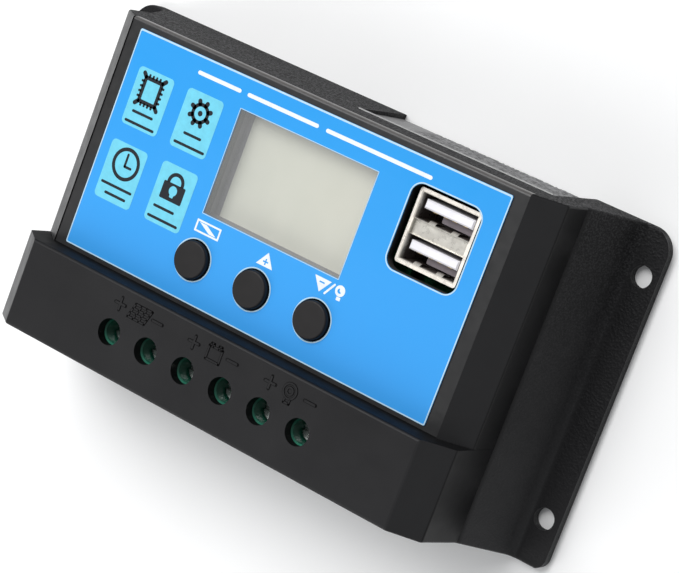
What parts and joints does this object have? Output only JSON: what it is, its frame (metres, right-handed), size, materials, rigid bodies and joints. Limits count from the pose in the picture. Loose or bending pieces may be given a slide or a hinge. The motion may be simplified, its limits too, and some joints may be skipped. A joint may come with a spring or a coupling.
{
  "type": "solar charge controller",
  "caption": "Flat flanged housing with a raised wire-terminal deck, display window, push buttons and stacked USB ports; regulates panel, battery and load wiring.",
  "frame": {"origin": "middle of the flat back face, at the centre of the bounding box's bottom", "axes": "+X along the housing towards the USB end, +Y towards the edge away from the wire terminals, +Z out of the display face"},
  "size_m": [0.1334, 0.07, 0.035],
  "materials": {
    "shell_plastic": "fine moulded grain",
    "cover_plastic": "satin",
    "label_print": "printed film, satin gloss",
    "clear_film": "clear film",
    "bezel_grey": "satin",
    "display_glass": "polarised glass",
    "diffuser_white": "translucent",
    "elastomer": "matte",
    "board_green": "solder mask",
    "zinc_steel": "zinc plated",
    "black_screw": "black oxide",
    "connector_black": "moulded",
    "switch_black": "moulded",
    "sleeve_dark": "shrink sleeve",
    "ferrite": "sintered",
    "copper_wire": "enamelled",
    "epoxy_black": "moulded epoxy",
    "fuse_glass": "ceramic body",
    "plate_coated": "black wrinkle coat",
    "pad_grey": "silicone",
    "tinned_copper": "tinned",
    "usb_nickel": "nickel plated",
    "usb_white": "moulded",
    "contact_gold": "gold flash",
    "terminal_green": "moulded polyamide",
    "screw_nickel": "nickel plated",
    "clamp_steel": "zinc plated",
    "button_black": "fine moulded grain",
    "plunger_black": "moulded"
  },
  "bodies": {
    "root": {"main_shell": "shell_plastic", "front_cover": "cover_plastic", "front_label": "label_print", "lcd_window": "clear_film", "lcd_bezel": "bezel_grey", "lcd_glass": "display_glass", "lcd_backlight": "diffuser_white", "zebra_strip": "elastomer", "display_board": "board_green", "display_screws": "zinc_steel", "board_connector": "connector_black", "switch_bodies": "switch_black", "main_board": "board_green", "board_screws": "zinc_steel", "capacitors": "sleeve_dark", "inductor_core": "ferrite", "inductor_winding": "copper_wire", "microcontroller": "epoxy_black", "regulator": "epoxy_black", "fuse": "fuse_glass", "back_plate": "plate_coated", "back_screws": "black_screw", "thermal_pads": "pad_grey", "transistor_tabs": "tinned_copper", "transistor_bodies": "epoxy_black", "transistor_leads": "tinned_copper", "transistor_screws": "zinc_steel", "usb_shell": "usb_nickel", "usb_insulator": "usb_white", "usb_contacts": "contact_gold", "terminal_bars": "tinned_copper", "terminal_module_1": "terminal_green", "terminal_module_2": "terminal_green", "terminal_module_3": "terminal_green", "terminal_module_4": "terminal_green", "terminal_module_5": "terminal_green", "terminal_module_6": "terminal_green"},
    "key_menu": {"button_menu": "button_black", "plunger_menu": "plunger_black"},
    "key_up": {"button_up": "button_black", "plunger_up": "plunger_black"},
    "key_down": {"button_down": "button_black", "plunger_down": "plunger_black"},
    "screw_1": {"terminal_screw_1": "screw_nickel"},
    "clamp_1": {"terminal_clamp_1": "clamp_steel"},
    "screw_2": {"terminal_screw_2": "screw_nickel"},
    "clamp_2": {"terminal_clamp_2": "clamp_steel"},
    "screw_3": {"terminal_screw_3": "screw_nickel"},
    "clamp_3": {"terminal_clamp_3": "clamp_steel"},
    "screw_4": {"terminal_screw_4": "screw_nickel"},
    "clamp_4": {"terminal_clamp_4": "clamp_steel"},
    "screw_5": {"terminal_screw_5": "screw_nickel"},
    "clamp_5": {"terminal_clamp_5": "clamp_steel"},
    "screw_6": {"terminal_screw_6": "screw_nickel"},
    "clamp_6": {"terminal_clamp_6": "clamp_steel"}
  },
  "joints": [
    {"name": "press_menu", "type": "slide", "parent": "root", "child": "key_menu", "axis": [0, 0, -1], "range_m": [0, 0.0005], "stiffness_N_per_m": 800, "springref_m": -0.0005},
    {"name": "press_up", "type": "slide", "parent": "root", "child": "key_up", "axis": [0, 0, -1], "range_m": [0, 0.0005], "stiffness_N_per_m": 800, "springref_m": -0.0005},
    {"name": "press_down", "type": "slide", "parent": "root", "child": "key_down", "axis": [0, 0, -1], "range_m": [0, 0.0005], "stiffness_N_per_m": 800, "springref_m": -0.0005},
    {"name": "turn_screw_1", "type": "hinge", "parent": "root", "child": "screw_1", "pos_m": [-0.02375, -0.0242, 0.0273], "axis": [0, 0, 1], "range_deg": [-2160, 0]},
    {"name": "lift_clamp_1", "type": "slide", "parent": "root", "child": "clamp_1", "axis": [0, 0, 1], "range_m": [0, 0.0042]},
    {"name": "turn_screw_2", "type": "hinge", "parent": "root", "child": "screw_2", "pos_m": [-0.01425, -0.0242, 0.0273], "axis": [0, 0, 1], "range_deg": [-2160, 0]},
    {"name": "lift_clamp_2", "type": "slide", "parent": "root", "child": "clamp_2", "axis": [0, 0, 1], "range_m": [0, 0.0042]},
    {"name": "turn_screw_3", "type": "hinge", "parent": "root", "child": "screw_3", "pos_m": [-0.00475, -0.0242, 0.0273], "axis": [0, 0, 1], "range_deg": [-2160, 0]},
    {"name": "lift_clamp_3", "type": "slide", "parent": "root", "child": "clamp_3", "axis": [0, 0, 1], "range_m": [0, 0.0042]},
    {"name": "turn_screw_4", "type": "hinge", "parent": "root", "child": "screw_4", "pos_m": [0.00475, -0.0242, 0.0273], "axis": [0, 0, 1], "range_deg": [-2160, 0]},
    {"name": "lift_clamp_4", "type": "slide", "parent": "root", "child": "clamp_4", "axis": [0, 0, 1], "range_m": [0, 0.0042]},
    {"name": "turn_screw_5", "type": "hinge", "parent": "root", "child": "screw_5", "pos_m": [0.01425, -0.0242, 0.0273], "axis": [0, 0, 1], "range_deg": [-2160, 0]},
    {"name": "lift_clamp_5", "type": "slide", "parent": "root", "child": "clamp_5", "axis": [0, 0, 1], "range_m": [0, 0.0042]},
    {"name": "turn_screw_6", "type": "hinge", "parent": "root", "child": "screw_6", "pos_m": [0.02375, -0.0242, 0.0273], "axis": [0, 0, 1], "range_deg": [-2160, 0]},
    {"name": "lift_clamp_6", "type": "slide", "parent": "root", "child": "clamp_6", "axis": [0, 0, 1], "range_m": [0, 0.0042]}
  ],
  "couplings": [
    {"joint": "turn_screw_1", "follows": "lift_clamp_1", "rad_per_m": -8976},
    {"joint": "turn_screw_2", "follows": "lift_clamp_2", "rad_per_m": -8976},
    {"joint": "turn_screw_3", "follows": "lift_clamp_3", "rad_per_m": -8976},
    {"joint": "turn_screw_4", "follows": "lift_clamp_4", "rad_per_m": -8976},
    {"joint": "turn_screw_5", "follows": "lift_clamp_5", "rad_per_m": -8976},
    {"joint": "turn_screw_6", "follows": "lift_clamp_6", "rad_per_m": -8976}
  ]
}
